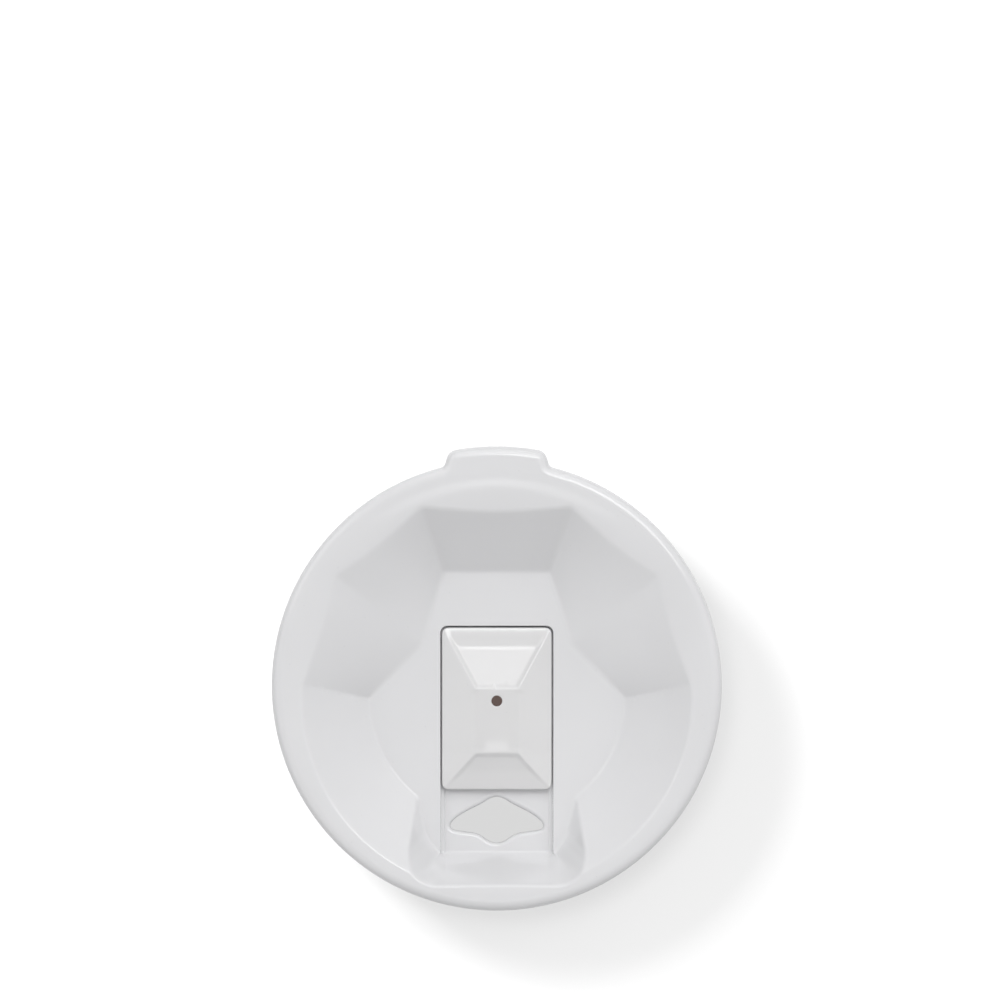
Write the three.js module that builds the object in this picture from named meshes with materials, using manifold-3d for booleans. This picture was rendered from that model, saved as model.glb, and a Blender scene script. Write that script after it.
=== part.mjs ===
import * as THREE from "three";
import { mergeVertices } from "three/addons/utils/BufferGeometryUtils.js";
import Module from "manifold-3d";

// A mug lid with a sliding gate over its drinking hole, in millimetres, +Z up.
// The lid stands on its plug. The thumb tab is at the back, +Y, and the drinking hole at the front.

// Heights above the plug's bottom ring
const lidHeight = 19;
const flangeHeight = 5;
const dishDepth = 11;
const wall = 2;

// Flange, seen from above
const rimRadius = 46;
const rimEdgeRadius = 1.6;
const undersideChamfer = 0.5;
const crownInset = 2.6;
const crownFall = 0.7;

// Thumb tab at the back of the flange
const tabReach = 48.9;
const tabThickness = 3.4;
const tabHalfWidth = 10.4;
const tabFlankAngle = 0.3;
const tabCornerRadius = 2.4;
const tabBaseRadius = 1.2;

// Plug that enters the cup, and the groove for its sealing ring
const flangeOverhang = 5.5;
const plugWall = 3.2;
const plugChamfer = 0.8;
const grooveDepth = 1.4;
const grooveHeight = 4.4;
const grooveFloor = 5;

// Sealing ring
const ringClearance = 0.2;
const lipReach = 1.5;
const lipThickness = 0.7;
const lipCount = 2;

// Dish: corners of its floor, and the directions of its rim's corners, from the back facet to the cone
const floorCorners = [new THREE.Vector2(10.9, 23.2), new THREE.Vector2(15.4, 8.5)];
const rimCornerAngles = [1.172, 0.596];
const rimCornerInset = 0.15;
const dishRimInset = 0.9;
const coneSlopeWidth = 13.4;
const coneFootCentre = -2.3;
const coneRimCentre = -1.95;
const facetSteps = 4;
const coneSteps = 10;

// Mouth: the notch in the front of the cone, by the drinking hole
const mouthRimSetback = 1;
const mouthSlopeWidth = 6.3;
const mouthRimHalfWidth = 12.1;
const mouthCornerX = 17.6;
const mouthCornerSteps = 4;
const mouthFootHalfWidth = 12.7;
const pierHeadX = 16.2;
const pierLength = 11;
const pierFootX = 14;
const pierFootRise = 1;
const pierLean = 5.3;

// Slider: a hipped block that rides on two ledges in a channel
const sliderWidth = 22.4;
const sliderLength = 33.1;
const sliderTravel = 12.7;
const sliderCornerRadius = 1.3;
const sliderEdgeAboveFloor = 0.3;
const sliderPlateauRise = 3;
const plateauHalfWidth = 4.4;
const rearSlopeLength = 12.5;
const frontSlopeLength = 7.4;
const panelInset = 1;
const panelDepth = 0.35;
const plateauCornerRadius = 0.4;
const panelBorder = 0.5;
const ventRadius = 1.35;
const ventSetback = 2.4;

// Channel
const channelDepth = 2;
const ledgeWidth = 1.05;
const ledgeHeight = 0.4;
const channelClearance = 0.3;
const runningClearance = 0.15;

// Pegs of the slider, and the keeper that they hold under the floor
const pegX = 6.5;
const pegWidth = 1.6;
const pegLength = 3;
const pegBarb = 0.5;
const barbHeight = 0.8;
const slotClearance = 0.25;
const keeperThickness = 1.5;
const keeperHalfWidth = 9;
const keeperLength = 8.2;
const keeperMargin = 2.5;
const keeperWindowRadius = 2;

// Drinking hole, right half, as the ends and handles of cubic curves from its rear point to its front point.
// Each point is its distance from the middle and from the channel's front end.
const holeCurves = [
  [[0, 12.1], [1.5, 12.1], [2.3, 11.1], [4, 10.3]],
  [[4, 10.3], [6.3, 9.2], [8.4, 8.1], [9.4, 6.9]],
  [[9.4, 6.9], [10.2, 5.9], [9.9, 5], [8.6, 4.7]],
  [[8.6, 4.7], [6.9, 4.3], [5, 4.4], [3.7, 3.8]],
  [[3.7, 3.8], [2.4, 3.1], [1.7, 2.1], [0, 2.1]],
];
const holeCurveSteps = 4;

// Smoothness of round faces
const rimSteps = 72;
const edgeSteps = 4;
const cornerSteps = 3;
const ventSteps = 16;

// Heights that follow from the sizes above
const flangeUnderside = lidHeight - flangeHeight;
const dishFloor = lidHeight - dishDepth;
const crownInnerHeight = lidHeight - crownFall;
const ledgeTop = dishFloor - channelDepth + ledgeHeight;
const channelFloor = dishFloor - channelDepth;
const channelUnderside = channelFloor - wall;
const sliderBottom = ledgeTop + runningClearance;
const sliderEdge = dishFloor + sliderEdgeAboveFloor;
const keeperTop = channelUnderside - runningClearance;
const keeperBottom = keeperTop - keeperThickness;
const barbTop = keeperBottom - runningClearance;
const barbBottom = barbTop - barbHeight;
const overshoot = 2;

// Places that follow from the sizes above
const plugRadius = rimRadius - flangeOverhang;
const coneRimRadius = plugRadius - dishRimInset;
const coneFootRadius = coneRimRadius - coneSlopeWidth;
const mouthRimFront = -coneRimRadius - mouthRimSetback;
const channelFront = mouthRimFront + mouthSlopeWidth;
const pierHead = channelFront + pierLength;
const sliderFront = channelFront + channelClearance + sliderTravel;
const sliderRear = sliderFront + sliderLength;
const rimCorners = rimCornerAngles.map((angle) => {
  const radius = coneRimRadius - rimCornerInset;
  return new THREE.Vector2(radius * Math.cos(angle), radius * Math.sin(angle));
});
const channelHalfWidth = sliderWidth / 2 + channelClearance;
const channelRear = sliderRear + channelClearance;
const grooveRadius = plugRadius - grooveDepth;
const plugInside = plugRadius - plugWall;
const plateauRear = sliderRear - rearSlopeLength;
const plateauFront = sliderFront + frontSlopeLength;
const ventY = plateauRear - ventSetback;
const pegRear = ventY;
const keeperRear = pegRear + keeperMargin;
const keeperFront = keeperRear - keeperLength;

const wasm = await Module();
wasm.setup();

// A closed geometry as a solid that can be joined and cut.
function solid(geometry) {
  const bare = geometry.clone();
  bare.deleteAttribute("normal");
  bare.deleteAttribute("uv");
  const merged = mergeVertices(bare, 1e-4);
  const mesh = new wasm.Mesh({
    numProp: 3,
    vertProperties: merged.attributes.position.array,
    triVerts: new Uint32Array(merged.index.array),
  });
  return new wasm.Manifold(mesh);
}

// A solid as a geometry again.
function geometryOf(made) {
  const mesh = made.getMesh();
  const geometry = new THREE.BufferGeometry();
  geometry.setAttribute("position", new THREE.BufferAttribute(mesh.vertProperties, 3));
  geometry.setIndex(new THREE.BufferAttribute(mesh.triVerts, 1));
  const flat = geometry.toNonIndexed();
  flat.computeVertexNormals();
  return flat;
}

// A box between two corners.
function block(low, high) {
  const size = high.map((value, i) => value - low[i]);
  const box = new THREE.BoxGeometry(...size);
  box.translate(...high.map((value, i) => (value + low[i]) / 2));
  return solid(box);
}

// An upright round pin or bore between two heights.
function pin(radius, x, y, bottom, top) {
  const cylinder = new THREE.CylinderGeometry(radius, radius, top - bottom, ventSteps);
  cylinder.rotateX(Math.PI / 2);
  cylinder.translate(x, y, (top + bottom) / 2);
  return solid(cylinder);
}

// A turned solid about the lid's axis, from a closed profile of [radius, height] points.
function turned(profile) {
  const points = [...profile, profile[0]].map(([radius, height]) => new THREE.Vector2(radius, height));
  const lathe = new THREE.LatheGeometry(points, rimSteps);
  lathe.rotateX(Math.PI / 2);
  return solid(lathe);
}

// A closed skin over rings of points, lowest ring first, each anticlockwise seen from above.
function loft(rings) {
  const count = rings[0].length;
  const points = rings.flat();
  const ends = [rings[0], rings[rings.length - 1]];
  ends.forEach((ring) => {
    const centre = new THREE.Vector3();
    ring.forEach((point) => centre.addScaledVector(point, 1 / count));
    points.push(centre);
  });
  const bottomCentre = points.length - 2;
  const topCentre = points.length - 1;
  const topStart = (rings.length - 1) * count;
  const faces = [];
  for (let i = 0; i < count; i += 1) {
    const next = (i + 1) % count;
    faces.push(bottomCentre, next, i);
    faces.push(topCentre, topStart + i, topStart + next);
    for (let start = 0; start < topStart; start += count) {
      faces.push(start + i, start + next, start + count + next);
      faces.push(start + i, start + count + next, start + count + i);
    }
  }
  const geometry = new THREE.BufferGeometry().setFromPoints(points);
  geometry.setIndex(faces);
  return solid(geometry);
}

// A flat outline lifted to a height.
function at(outline, height) {
  return outline.map((point) => new THREE.Vector3(point.x, point.y, height));
}

// Points from one end of an arc to the other.
function arc(centre, radius, from, to, steps) {
  const points = [];
  for (let i = 0; i <= steps; i += 1) {
    const angle = from + ((to - from) * i) / steps;
    points.push(new THREE.Vector2(centre.x + radius * Math.cos(angle), centre.y + radius * Math.sin(angle)));
  }
  return points;
}

// The right half of an outline, from the front to the back, closed by its mirror image.
function mirrored(right) {
  const left = right.map((point) => new THREE.Vector2(-point.x, point.y)).reverse();
  const onAxis = (point) => Math.abs(point.x) < 1e-9;
  return [...right, ...left.filter((point) => !onAxis(point))];
}

// The flange's outline with its thumb tab, drawn in by an inset, as it is at each height of the rounded edge.
function flangeOutline(inset) {
  const normal = new THREE.Vector2(Math.cos(tabFlankAngle), Math.sin(tabFlankAngle));
  const along = new THREE.Vector2(-normal.y, normal.x);
  const flank = normal.dot(new THREE.Vector2(tabHalfWidth, rimRadius));
  const onLine = (offset, reach) =>
    normal
      .clone()
      .multiplyScalar(flank + offset)
      .addScaledVector(along, Math.sqrt(reach ** 2 - (flank + offset) ** 2));
  const base = onLine(tabBaseRadius, rimRadius + tabBaseRadius);
  const corner = onLine(-tabCornerRadius, tabReach - tabCornerRadius);
  const centre = new THREE.Vector2();
  const right = [
    ...arc(centre, rimRadius - inset, -Math.PI / 2, base.angle(), rimSteps / 2),
    ...arc(base, tabBaseRadius + inset, base.angle() + Math.PI, tabFlankAngle + Math.PI, cornerSteps),
    ...arc(corner, tabCornerRadius - inset, tabFlankAngle, corner.angle(), cornerSteps),
    ...arc(centre, tabReach - inset, corner.angle(), Math.PI / 2, cornerSteps).slice(1),
  ];
  return mirrored(right);
}

// The flange's crown: a rounded edge round the outline, then a dome that falls a little towards the dish.
function flangeTop() {
  const bottom = lidHeight - tabThickness;
  const rings = [at(flangeOutline(undersideChamfer), bottom)];
  rings.push(at(flangeOutline(0), bottom + undersideChamfer));
  for (let i = 0; i <= edgeSteps; i += 1) {
    const turn = (Math.PI / 2) * (i / edgeSteps);
    const height = lidHeight - rimEdgeRadius * (1 - Math.sin(turn));
    rings.push(at(flangeOutline(rimEdgeRadius * (1 - Math.cos(turn))), height));
  }
  const count = rings[0].length;
  const crown = rings[0].map((point) => new THREE.Vector2(point.x, point.y).setLength(rimRadius - crownInset));
  rings.push(at(crown, lidHeight));
  const inner = crown.map((point) => point.clone().setLength(coneRimRadius - wall));
  rings.push(at(inner, crownInnerHeight));
  if (rings.some((ring) => ring.length !== count)) throw new Error("the flange's rings differ");
  return loft(rings);
}

// The plug with its groove, and the plain disc of the flange above it.
function plugBody() {
  const grooveTop = grooveFloor + grooveHeight;
  const flangeTopSeat = lidHeight - tabThickness + undersideChamfer;
  return turned([
    [0, 0],
    [plugRadius - plugChamfer, 0],
    [plugRadius, plugChamfer],
    [plugRadius, grooveFloor],
    [grooveRadius, grooveFloor],
    [grooveRadius, grooveTop],
    [plugRadius, grooveTop],
    [plugRadius, flangeUnderside],
    [rimRadius - undersideChamfer, flangeUnderside],
    [rimRadius, flangeUnderside + undersideChamfer],
    [rimRadius, flangeTopSeat],
    [0, flangeTopSeat],
  ]);
}

// Points along one straight edge of the dish, without its last point.
function edge(from, to) {
  return Array.from({ length: facetSteps }, (_, i) => from.clone().lerp(to, i / facetSteps));
}

// The mouth's rounded corner and straight front edge on the rim, from the front to the cone's rim.
function mouthRim() {
  const drop = coneRimCentre - Math.sqrt(coneRimRadius ** 2 - mouthCornerX ** 2);
  const run = mouthCornerX - mouthRimHalfWidth;
  const rise = drop - mouthRimFront;
  const radius = (run ** 2 + rise ** 2) / (2 * rise);
  const centre = new THREE.Vector2(mouthRimHalfWidth, mouthRimFront + radius);
  const end = -Math.PI / 2 + Math.asin(run / radius);
  return [new THREE.Vector2(0, mouthRimFront), ...arc(centre, radius, -Math.PI / 2, end, mouthCornerSteps)];
}

// The dish's outline on its floor or on its rim: the mouth, the cone, then five facets round the back.
function dishOutline(corners, radius, centreY, front) {
  const centre = new THREE.Vector2(0, centreY);
  const start = Math.atan2(front[front.length - 1].y - centreY, front[front.length - 1].x);
  const cone = arc(centre, radius, start, Math.asin(-centreY / radius - 0.03), coneSteps);
  const side = cone.pop();
  const right = [
    ...front.slice(0, -1),
    ...cone,
    ...edge(side, corners[1]),
    ...edge(corners[1], corners[0]),
    corners[0],
    new THREE.Vector2(0, corners[0].y),
  ];
  return mirrored(right);
}

// The open space of the dish, or with a margin, the outside of its wall below.
function dishSpace(margin) {
  const rimFront = mouthRim();
  const footFront = rimFront.map((point) => {
    const angle = Math.atan2(point.y - coneRimCentre, point.x);
    return new THREE.Vector2(coneFootRadius * Math.cos(angle), coneFootCentre + coneFootRadius * Math.sin(angle));
  });
  const foot = dishOutline(floorCorners, coneFootRadius, coneFootCentre, footFront);
  const rim = dishOutline(rimCorners, coneRimRadius, coneRimCentre, rimFront);
  const shares = [0, 0.5, 1, 1 + overshoot / dishDepth];
  const rings = shares.map((share) =>
    foot.map((point, i) => {
      const flat = point.clone().lerp(rim[i], share);
      flat.setLength(flat.length() + margin / 2);
      return new THREE.Vector3(flat.x, flat.y, dishFloor - margin + share * (crownInnerHeight - dishFloor));
    }),
  );
  return loft(rings);
}

// The open space of the mouth, between its two piers, or with a margin, the outside of its walls.
function mouthSpace(margin) {
  const rim = mouthRim();
  const corner = rim[rim.length - 1];
  const along = new THREE.Vector2(pierHeadX - pierFootX, pierLength - pierFootRise).normalize();
  const lean = new THREE.Vector2(along.y, -along.x).multiplyScalar(pierLean);
  const footY = channelFront + pierFootRise;
  const foot = [
    ...rim.slice(0, -1).map((point) => new THREE.Vector2(Math.min(point.x, mouthFootHalfWidth), channelFront)),
    new THREE.Vector2(mouthFootHalfWidth, channelFront),
    new THREE.Vector2(pierFootX, footY),
    new THREE.Vector2(pierHeadX, pierHead),
    new THREE.Vector2(0, pierHead),
  ];
  const top = [
    ...rim.slice(0, -1),
    corner,
    new THREE.Vector2(pierFootX, footY).add(lean),
    new THREE.Vector2(pierHeadX, pierHead).add(lean),
    new THREE.Vector2(0, pierHead),
  ];
  const rings = [0, 1, 1 + overshoot / dishDepth].map((share) => {
    const right = foot.map((point, i) => point.clone().lerp(top[i], share));
    right.forEach((point) => point.setLength(point.length() + margin));
    right[0].x = 0;
    right[right.length - 1].x = 0;
    return at(mirrored(right), dishFloor - margin + share * (crownInnerHeight - dishFloor));
  });
  return loft(rings);
}

// The channel that the slider runs in, with a ledge along each side.
function channelSpace() {
  const inside = channelHalfWidth - ledgeWidth;
  const onLedges = block(
    [-channelHalfWidth, channelFront, ledgeTop],
    [channelHalfWidth, channelRear, dishFloor + overshoot],
  );
  const between = block([-inside, channelFront, channelFloor], [inside, channelRear, dishFloor + overshoot]);
  return onLedges.add(between);
}

// The drinking hole through the channel's floor.
function holeSpace() {
  const right = holeCurves.flatMap((points) => {
    const ends = points.map(([x, y]) => new THREE.Vector2(x, channelFront + y));
    return new THREE.CubicBezierCurve(...ends).getPoints(holeCurveSteps).slice(0, -1);
  });
  const [frontX, frontY] = holeCurves[holeCurves.length - 1][3];
  const fromFront = [...right, new THREE.Vector2(frontX, channelFront + frontY)].reverse();
  const outline = mirrored(fromFront);
  return loft([at(outline, channelUnderside - overshoot), at(outline, dishFloor)]);
}

// One of the two slots in the floor that the slider's pegs run in.
function slotSpace(side) {
  const x = side * pegX;
  const halfWidth = pegWidth / 2 + slotClearance;
  return block(
    [x - halfWidth, pegRear - pegLength - sliderTravel - slotClearance, channelUnderside - overshoot],
    [x + halfWidth, pegRear + slotClearance, ledgeTop],
  );
}

// The lid's body: flange, thumb tab, plug, dish and channel as one moulding.
function lidShell() {
  const pocket = turned([
    [0, -overshoot],
    [plugInside, -overshoot],
    [plugInside, crownInnerHeight - wall],
    [0, crownInnerHeight - wall],
  ]);
  const channelWalls = block(
    [-channelHalfWidth - wall, channelFront - wall, channelUnderside],
    [channelHalfWidth + wall, channelRear + wall, dishFloor],
  );
  const underside = pocket
    .subtract(dishSpace(wall))
    .subtract(mouthSpace(wall))
    .subtract(channelWalls);
  return flangeTop()
    .add(plugBody())
    .subtract(underside)
    .subtract(dishSpace(0))
    .subtract(mouthSpace(0))
    .subtract(channelSpace())
    .subtract(holeSpace())
    .subtract(slotSpace(-1))
    .subtract(slotSpace(1))
    .subtract(pin(ventRadius, 0, ventY, channelUnderside - overshoot, dishFloor));
}

// A rectangle with rounded corners, mirrored about the lid's middle plane.
function roundedOutline(halfWidth, front, rear, radius) {
  const x = halfWidth - radius;
  const right = [
    new THREE.Vector2(0, front),
    ...arc(new THREE.Vector2(x, front + radius), radius, -Math.PI / 2, 0, cornerSteps),
    ...arc(new THREE.Vector2(x, rear - radius), radius, 0, Math.PI / 2, cornerSteps),
    new THREE.Vector2(0, rear),
  ];
  return mirrored(right);
}

// The space above one inset end panel: wide at the slider's end, narrow at the plateau.
function panelSpace(end, plateau) {
  const away = Math.sign(end - plateau);
  const outer = end - away * panelBorder;
  const inner = plateau + away * panelBorder;
  const outerX = sliderWidth / 2 - panelInset;
  const innerX = plateauHalfWidth - panelBorder;
  const innerHeight = sliderEdge + sliderPlateauRise - panelDepth;
  const ring = (grow) => [
    new THREE.Vector3(-outerX - grow, outer + away * grow, sliderEdge + grow),
    new THREE.Vector3(-innerX - grow, inner - away * grow, innerHeight + grow),
    new THREE.Vector3(innerX + grow, inner - away * grow, innerHeight + grow),
    new THREE.Vector3(outerX + grow, outer + away * grow, sliderEdge + grow),
  ];
  const rings = [ring(0), ring(overshoot)];
  return loft(away > 0 ? rings : rings.map((points) => points.reverse()));
}

// One of the slider's pegs, with its barb below the keeper.
function peg(side) {
  const x = side * pegX;
  const shank = block(
    [x - pegWidth / 2, pegRear - pegLength, barbBottom],
    [x + pegWidth / 2, pegRear, sliderBottom + wall / 2],
  );
  const inner = x - pegWidth / 2 + Math.min(side, 0) * pegBarb;
  const outer = x + pegWidth / 2 + Math.max(side, 0) * pegBarb;
  return shank.add(block([inner, pegRear - pegLength, barbBottom], [outer, pegRear, barbTop]));
}

// The slider: a block with a hipped top, an inset panel at each end, a vent and two barbed pegs.
function slider() {
  const outline = roundedOutline(sliderWidth / 2, sliderFront, sliderRear, sliderCornerRadius);
  const plateau = roundedOutline(plateauHalfWidth, plateauFront, plateauRear, plateauCornerRadius);
  const top = sliderEdge + sliderPlateauRise;
  return loft([at(outline, sliderBottom), at(outline, sliderEdge), at(plateau, top)])
    .subtract(panelSpace(sliderRear, plateauRear))
    .subtract(panelSpace(sliderFront, plateauFront))
    .add(peg(-1))
    .add(peg(1))
    .subtract(pin(ventRadius, 0, ventY, sliderBottom - overshoot, top + overshoot));
}

// The keeper plate under the floor, held on the slider's pegs, with a window below the vent.
function sliderKeeper() {
  const plate = block(
    [-keeperHalfWidth, keeperFront, keeperBottom],
    [keeperHalfWidth, keeperRear, keeperTop],
  );
  const socket = (side) => {
    const x = side * pegX;
    const halfWidth = pegWidth / 2 + slotClearance;
    return block(
      [x - halfWidth, pegRear - pegLength - slotClearance, keeperBottom - overshoot],
      [x + halfWidth, pegRear + slotClearance, keeperTop + overshoot],
    );
  };
  return plate
    .subtract(socket(-1))
    .subtract(socket(1))
    .subtract(pin(keeperWindowRadius, 0, ventY, keeperBottom - overshoot, keeperTop + overshoot));
}

// The sealing ring: a band that fills the groove, with lips that lean up and outwards.
function sealingRing() {
  const inside = grooveRadius + ringClearance;
  const outside = plugRadius - ringClearance / 2;
  const top = grooveFloor + grooveHeight - ringClearance;
  const pitch = (top - grooveFloor) / lipCount;
  const profile = [[inside, grooveFloor], [outside, grooveFloor]];
  for (let i = 0; i < lipCount; i += 1) {
    const root = grooveFloor + (i + 0.15) * pitch;
    profile.push([outside, root]);
    profile.push([plugRadius + lipReach, root + lipThickness]);
    profile.push([plugRadius + lipReach, root + 1.6 * lipThickness]);
    profile.push([outside, root + 1.4 * lipThickness]);
  }
  profile.push([outside, top], [inside, top]);
  return turned(profile);
}

// A named piece with its own material.
function piece(name, made, color, roughness) {
  const material = new THREE.MeshStandardMaterial({ color, roughness, metalness: 0 });
  const mesh = new THREE.Mesh(geometryOf(made), material);
  mesh.name = name;
  return mesh;
}

// The lid is centred between the front of its rim and the end of its tab.
const lid = new THREE.Group();
lid.position.y = (rimRadius - tabReach) / 2;
lid.add(piece("lid_shell", lidShell(), 0xe6e7ea, 0.25));
lid.add(piece("sealing_ring", sealingRing(), 0xd9dadb, 0.6));
lid.add(piece("slider", slider(), 0xe4e3e4, 0.2));
lid.add(piece("slider_keeper", sliderKeeper(), 0xe4e3e4, 0.3));

export default lid;
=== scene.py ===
import math

import bmesh
import bpy
import numpy as np
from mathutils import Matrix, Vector
from mathutils.geometry import delaunay_2d_cdt


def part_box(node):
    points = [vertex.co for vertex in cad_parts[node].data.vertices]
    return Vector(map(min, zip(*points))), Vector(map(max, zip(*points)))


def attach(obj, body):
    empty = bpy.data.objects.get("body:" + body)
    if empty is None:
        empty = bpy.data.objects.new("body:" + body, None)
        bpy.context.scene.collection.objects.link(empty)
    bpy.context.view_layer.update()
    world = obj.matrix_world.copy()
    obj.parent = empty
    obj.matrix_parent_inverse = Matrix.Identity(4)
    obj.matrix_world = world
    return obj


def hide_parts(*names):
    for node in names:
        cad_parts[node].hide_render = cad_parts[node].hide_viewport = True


bl_info = {
    "name": "Mug Lid with Sliding Gate",
    "version": (1, 0, 0),
    "blender": (4, 5, 0),
    "location": "View3D > Sidebar > Mug Lid",
    "description": "Dresses the lid's frame with fine moulded surfaces, finishes, floor, light and camera",
    "category": "Object",
}

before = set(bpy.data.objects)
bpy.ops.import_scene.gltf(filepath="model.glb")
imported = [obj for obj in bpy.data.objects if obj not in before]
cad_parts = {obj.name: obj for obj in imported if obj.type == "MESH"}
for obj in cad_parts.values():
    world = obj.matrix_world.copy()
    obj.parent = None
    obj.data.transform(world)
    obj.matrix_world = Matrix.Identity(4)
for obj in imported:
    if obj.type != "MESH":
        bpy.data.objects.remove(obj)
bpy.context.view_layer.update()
SHELL_LOW, SHELL_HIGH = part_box("lid_shell")
GATE_LOW, GATE_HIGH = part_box("slider")
KEEPER_LOW, KEEPER_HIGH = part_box("slider_keeper")
RING_LOW, RING_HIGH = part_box("sealing_ring")

# Outlines and heights below are in millimetres from the rim's centre, on the plug's foot.
MM = 0.001
RIM_RADIUS = (SHELL_HIGH.x - SHELL_LOW.x) / 2 / MM
RIM_CENTRE_Y = SHELL_LOW.y / MM + RIM_RADIUS
TAB_REACH = SHELL_HIGH.y / MM - RIM_CENTRE_Y
LID_HEIGHT = SHELL_HIGH.z / MM

# Flange and thumb tab
FLANGE_UNDERSIDE = LID_HEIGHT - 5
CROWN_RADIUS = RIM_RADIUS - 2.6
CROWN_WIDTH = 5.8
CROWN_FALL = 0.7
TAB_THICKNESS = 3.4
TAB_HALF_WIDTH = 10.4
TAB_FLANK_ANGLE = 0.3
TAB_CORNER_RADIUS = 2.4
TAB_BASE_RADIUS = 1.2
UNDERSIDE_EDGE = 0.5

# Plug and its groove
PLUG_RADIUS = RIM_RADIUS - 5.5
PLUG_INSIDE = PLUG_RADIUS - 3.2
GROOVE_RADIUS = PLUG_RADIUS - 1.4
GROOVE_FLOOR = RING_LOW.z / MM
GROOVE_TOP = GROOVE_FLOOR + 4.4
PLUG_EDGE = 0.8
WALL = 2.0

# Dish: facet corners on its floor and rim, then the cone round its front
DISH_FLOOR = LID_HEIGHT - 11
DISH_RIM_HEIGHT = LID_HEIGHT - 0.55
FLOOR_CORNERS = ((0.0, 23.2), (10.9, 23.2), (15.4, 8.5), (26.6, -2.9))
RIM_CORNERS = ((0.0, 36.3), (15.3, 36.3), (32.7, 22.2), (39.6, 0.0))
CONE_FOOT_RADIUS = 26.2
CONE_FOOT_CENTRE = -2.3
CONE_RIM_RADIUS = 39.6
CONE_RIM_CENTRE = -1.95

# Mouth: the front slope's foot, and the piers' corners as (x, y, height)
MOUTH_FOOT = -34.3
MOUTH_SLOPE_WIDTH = 6.3
MOUTH_HALF_WIDTH = 12.1
PIER_HEAD = (16.2, -23.3, DISH_FLOOR)
PIER_FOOT = (14.0, -33.3, DISH_FLOOR)
PIER_SHOULDER = (18.0, -33.8, DISH_FLOOR + 7.9)
PIER_CORNER = (17.0, -37.8, DISH_FLOOR + 9.5)
MOUTH_CORNER = (12.6, -34.2, DISH_FLOOR)

# Gate
GATE_HALF_WIDTH = (GATE_HIGH.x - GATE_LOW.x) / 2 / MM
GATE_FRONT = GATE_LOW.y / MM - RIM_CENTRE_Y
GATE_REAR = GATE_HIGH.y / MM - RIM_CENTRE_Y
GATE_CORNER_RADIUS = 1.3
GATE_RISE = 3.0
GATE_TOP = GATE_HIGH.z / MM
GATE_EDGE = GATE_TOP - GATE_RISE
PLATEAU_HALF_WIDTH = 4.4
PLATEAU_REAR = GATE_REAR - 12.5
PLATEAU_FRONT = GATE_FRONT + 7.4
PANEL_DEPTH = 0.45
PANEL_BORDER = 0.85
PANEL_HOLLOW = 4.5
NOSE_START = PLATEAU_FRONT + 5
NOSE_DROP = 0.3
RIDGE_DROP = 0.18
RIDGE_WIDTH = 1.4
VENT_RADIUS = 1.35
VENT_MOUTH_RADIUS = 1.1
VENT_Y = PLATEAU_REAR - 2.5

# Channel
CHANNEL_FLOOR = DISH_FLOOR - 2
LEDGE_TOP = CHANNEL_FLOOR + 0.4
LEDGE_WIDTH = 0.8
CHANNEL_HALF_WIDTH = GATE_HALF_WIDTH + 0.3
CHANNEL_REAR = GATE_REAR + 0.3
CHANNEL_UNDERSIDE = CHANNEL_FLOOR - WALL
CHANNEL_CORNER_RADIUS = 1.4
GATE_BOTTOM = LEDGE_TOP + 0.15

# The ledges and the channel's sides are steps this wide. Past the slope's foot they spread by a climb.
STEP_WIDTH = 0.22
STEP_CLIMB = 14
STEP_SPREAD = 2.2

# Pegs, slots and keeper
PEG_X = 6.5
PEG_HALF = (0.8, 1.5)
PEG_Y = VENT_Y - PEG_HALF[1]
PEG_BARB = 0.5
BARB_TOP = KEEPER_LOW.z / MM - 0.15
BARB_BOTTOM = GATE_LOW.z / MM
PEG_CORNER_RADIUS = 0.25
SLOT_CLEARANCE = 0.25
SLOT_CORNER_RADIUS = 0.4
TRAVEL = 12.7
KEEPER_TOP = KEEPER_HIGH.z / MM
KEEPER_BOTTOM = KEEPER_LOW.z / MM
KEEPER_CORNER_RADIUS = 1.0
WINDOW_RADIUS = 2.0

# Small rounded edges: undersides, the vent's mouth, the slots and the keeper's openings
FOOT_EDGE = 0.25
VENT_LIP = 0.25
SLOT_EDGE = 0.15

# Drinking hole, right half: cubic curves from its rear point to its front point
HOLE_CURVES = (
    ((0, 12.1), (1.5, 12.1), (2.3, 11.1), (4, 10.3)),
    ((4, 10.3), (6.3, 9.2), (8.4, 8.1), (9.4, 6.9)),
    ((9.4, 6.9), (10.2, 5.9), (9.9, 5), (8.6, 4.7)),
    ((8.6, 4.7), (6.9, 4.3), (5, 4.4), (3.7, 3.8)),
    ((3.7, 3.8), (2.4, 3.1), (1.7, 2.1), (0, 2.1)),
)
HOLE_INSET = 0.3
HOLE_SHIFT = 0.35

# Below the lid, the holes in front of this line show a pale painted glow, and those behind it a dark painted
# shade.
PAINTED_GLOW_FRONT_OF = -18.0

# Softness: the facets behind are softer than the edges round the mouth, with a change over a stretch of y
SOFT_FROM = -4
SOFT_OVER = 8
GATE_SOFTNESS = 0.28

# The rim's rounded edge is lower than it is wide, by this share
RIM_EDGE_DROP = 0.7

# Fineness of the meshes: a coarse cell is halved while its surface bends by more than BEND, down to a
# sheet's own cell. Cells under the small size need a sharper bend.
RIM_STEPS = 120
COARSE_CELL = 1.6
SMALL_CELL = 0.6
TOP_CELL = 0.13
UNDER_CELL = 0.8
BEND = 0.06
BEND_REACH = 1.4
SHEET_MARGIN = 0.12
SLOPE_STEP = 0.02

# The room's broad glows as (azimuth, elevation, strength, focus)
ROOM_GLOWS = (
    (90, 38, 1.25, 10),
    (45, 38, 0.6, 10),
    (0, 38, 0.5, 10),
    (185, 38, 0.64, 10),
    (225, 38, 0.5, 10),
    (315, 38, 0.22, 10),
    (0, 10, 0.3, 14),
    (270, 10, 0.1, 14),
)

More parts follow.
